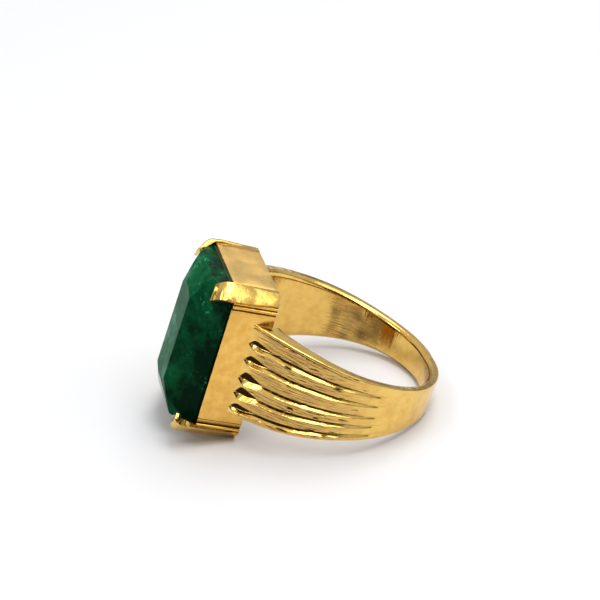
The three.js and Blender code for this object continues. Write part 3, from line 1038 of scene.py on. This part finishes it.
@dataclass
class Studio:
    """A pale floor, soft light and the camera, in millimetres and degrees."""

    azimuth: float = -12.5
    elevation: float = 28.4
    roll: float = -1.0
    distance: float = 179.7
    lens: float = 117.16
    aim: Triple = (0.46, 1.09, 2.10)  # from the middle of the CAD box
    paper: str = "#DFDFE1"
    paper_size: float = 3.0  # metres each way from the ring
    room_light: float = 0.86
    # The room's brightness by the height of the direction: grey at the horizon, near white overhead.
    room: tuple[tuple[float, Colour], ...] = (
        (0.0, (0.14, 0.15, 0.15, 1)), (0.28, (0.72, 0.73, 0.74, 1)), (0.65, (0.88, 0.9, 0.9, 1)),
        (0.95, (0.95, 0.95, 0.95, 1)),
    )
    dark_spots: tuple[DarkSpot, ...] = (
        DarkSpot(-12.5, 12, 0.75, 0.9, (0.03, 0.025, 0.02)),  # the camera and whoever holds it
        DarkSpot(30, 60, 0.91, 0.965, (0.12, 0.1, 0.08)),  # a lamp's arm
        DarkSpot(-109, 27, 0.9, 0.96, (0.36, 0.34, 0.28)),  # the wall round the left window
    )
    softboxes: tuple[Softbox, ...] = (
        Softbox("ceiling_window", (0.14, -0.02, 0.5), (0.62, 0.28), 2.35),
        Softbox("left_ceiling", (-0.3, -0.05, 0.48), (0.16, 0.2), 0.4),
        Softbox("right_fill", (0.36, -0.245, 0.447), (0.26, 0.2), 0.26),
        Softbox("left_window", (-0.43, 0.157, 0.23), (0.11, 0.09), 0.15),
    )

    @staticmethod
    def away(azimuth: float, elevation: float) -> Vector:
        """Returns the direction from the ring towards an azimuth and elevation in degrees."""
        turn, rise = math.radians(azimuth), math.radians(elevation)
        return Vector((math.sin(turn) * math.cos(rise), -math.cos(turn) * math.cos(rise), math.sin(rise)))

    def camera(self) -> None:
        """Adds the camera."""
        data = bpy.data.cameras.new("camera")
        data.lens = self.lens
        data.sensor_width = 36
        data.clip_start = 0.005
        data.clip_end = 20
        camera = bpy.data.objects.new("camera", data)
        bpy.context.scene.collection.objects.link(camera)
        middle = (Vector(cad_box[0]) + Vector(cad_box[1])) / 2
        target = middle + Vector(self.aim) * MM
        away = self.away(self.azimuth, self.elevation)
        turn = (-away).to_track_quat("-Z", "Y").to_matrix().to_4x4()
        roll = Matrix.Rotation(math.radians(self.roll), 4, "Z")
        camera.matrix_world = Matrix.Translation(target + away * self.distance * MM) @ turn @ roll
        bpy.context.scene.camera = camera

    def floor(self) -> None:
        """Adds the pale floor."""
        bm = bmesh.new()
        bmesh.ops.create_grid(bm, x_segments=1, y_segments=1, size=self.paper_size)
        mesh = bpy.data.meshes.new("floor")
        bm.to_mesh(mesh)
        bm.free()
        material, tree = new_material("white paper sweep")
        fill_inputs(tree, tree.nodes[SHADER], {"Base Color": linear(self.paper), "Roughness": 0.6})
        mesh.materials.append(material)
        floor = bpy.data.objects.new("floor", mesh)
        bpy.context.scene.collection.objects.link(floor)

    def world(self) -> None:
        """Sets a bright room with the dark places that the metal reflects."""
        world = bpy.data.worlds.new("room")
        world.use_nodes = True
        bpy.context.scene.world = world
        tree = world.node_tree
        way = add_node(tree, "ShaderNodeTexCoord").outputs["Generated"]
        light = ramp(tree, add_node(tree, "ShaderNodeSeparateXYZ", {0: way}).outputs["Z"], self.room)
        for spot in self.dark_spots:
            near = add_node(
                tree, "ShaderNodeVectorMath", {0: way, 1: self.away(spot.azimuth, spot.elevation)},
                {"operation": "DOT_PRODUCT"},
            ).outputs["Value"]
            shade = ramp(tree, near, [(spot.edge, (1, 1, 1, 1)), (spot.core, (*spot.colour, 1))])
            light = mix(tree, 1.0, light, shade, "MULTIPLY")
        fill_inputs(tree, tree.nodes["Background"], {"Color": light, "Strength": self.room_light})

    def build(self) -> None:
        """Sets up camera, floor and light."""
        self.camera()
        self.floor()
        self.world()
        for softbox in self.softboxes:
            softbox.build()
        bpy.context.scene.view_settings.view_transform = "Standard"


def find_stance(head: Head, band: FingerBand) -> Stance:
    """Returns the stance that the sizes of head and palm give, centred on the CAD long walls."""
    palm_half_width, palm_thickness = band.half_width[0][1], band.thickness[0][1]
    tilt = math.atan2(head.half_length - palm_half_width, head.back + band.radius + palm_thickness)
    corners = [corner for side in ("left", "right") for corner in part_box(f"long_wall_{side}")]
    middle = sum(corners, Vector()) / len(corners)
    wall_middle = Vector((-(head.back + head.front) / 2 * MM, 0, 0))
    return Stance(tilt, middle - Matrix.Rotation(tilt, 3, "Y") @ wall_middle)


def main() -> None:
    """Builds the ring and its studio."""
    logging.basicConfig(level=logging.INFO, format="%(name)s: %(message)s")
    head = Head()
    band = FingerBand(head)
    stance = find_stance(head, band)
    stone = Stone(girdle_face=head.front - 0.13)
    gold = PolishedGold(stance.tilt).make()
    sheet = PolishedGold(
        stance.tilt, "polished gold sheet", colour="#F0C268", shade="#DCA64C", roughness=0.2,
        stretch=(1.0, 1.0, 0.08), mark_spacing=0.12, mark_depth=0.08, dent_depth=0.06,
    ).make()
    satin = PolishedGold(
        stance.tilt, "satin gold sheet", colour="#FFD77F", shade="#F8C974", roughness=0.36,
        stretch=(0.5, 1.0, 1.0), mark_spacing=0.14, mark_depth=0.18, dent_depth=0.03,
    ).make()
    Studio().build()
    band.build(stance)
    for side in Side:
        head.long_wall(side, stance, sheet)
    for end in End:
        head.end_wall(end, stance, satin)
    for end in End:
        for side in Side:
            head.corner(side, end, stance, gold)
    head.seat(stone.girdle_face, stance, gold)
    stone.build(stance)


if __name__ == "__main__":
    main()
